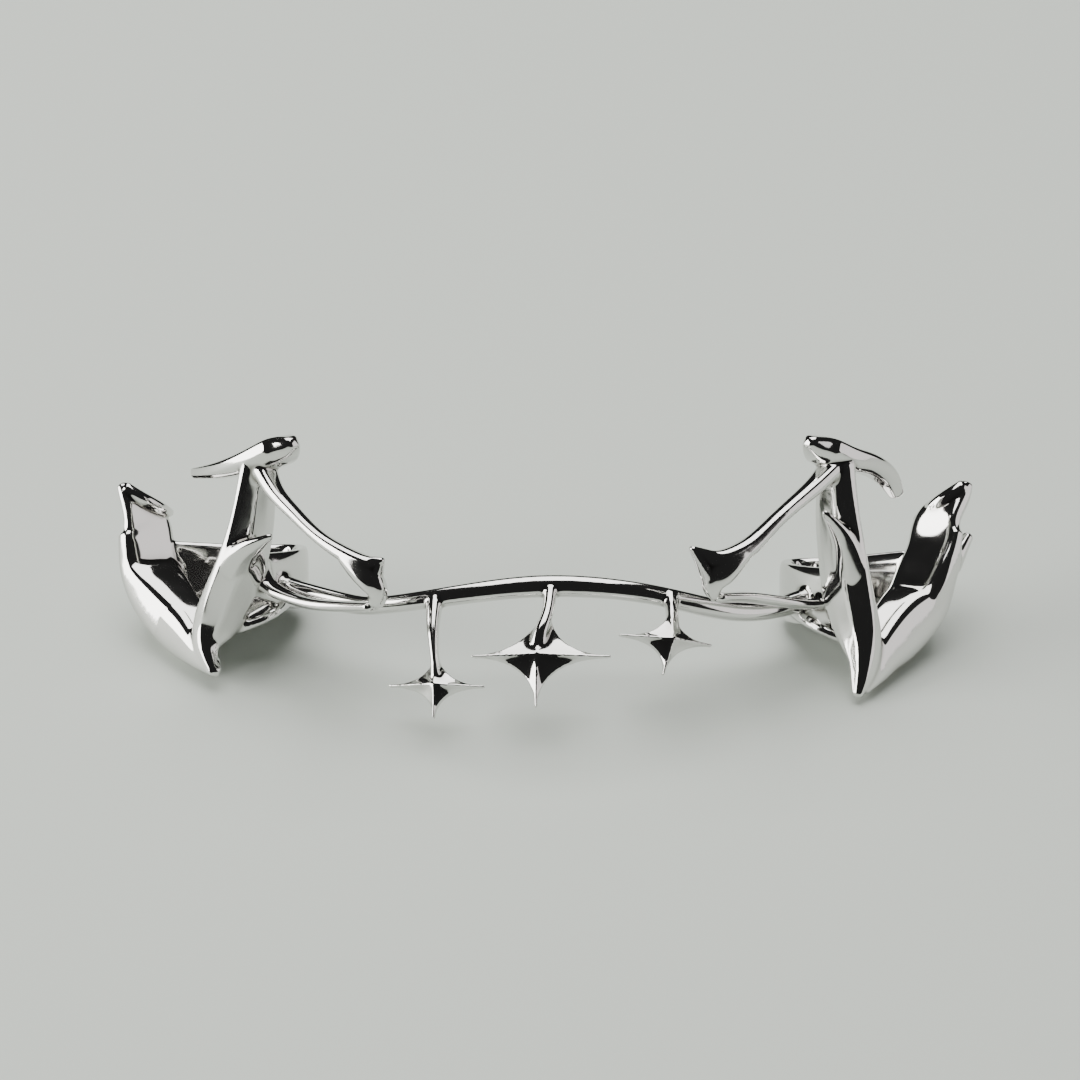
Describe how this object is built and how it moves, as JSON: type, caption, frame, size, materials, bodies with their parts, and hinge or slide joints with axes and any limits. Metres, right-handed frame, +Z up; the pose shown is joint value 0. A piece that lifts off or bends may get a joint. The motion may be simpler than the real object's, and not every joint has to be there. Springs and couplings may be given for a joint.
{
  "type": "grillz",
  "caption": "Rigid cast grillz for the upper front teeth: thorned open canine caps, bars crossing the lateral incisors, a bar behind the teeth and star drops below it.",
  "frame": {"origin": "middle of the underside of the casting's box, on the table that it lies on", "axes": "+X to the viewer's right across the dental arch, +Y towards the back of the mouth, +Z up from the table"},
  "size_m": [0.0468, 0.0164, 0.0136],
  "materials": {
    "metal": "mirror-polished white metal"
  },
  "bodies": {
    "root": {"grillz_casting": "metal"}
  },
  "joints": []
}
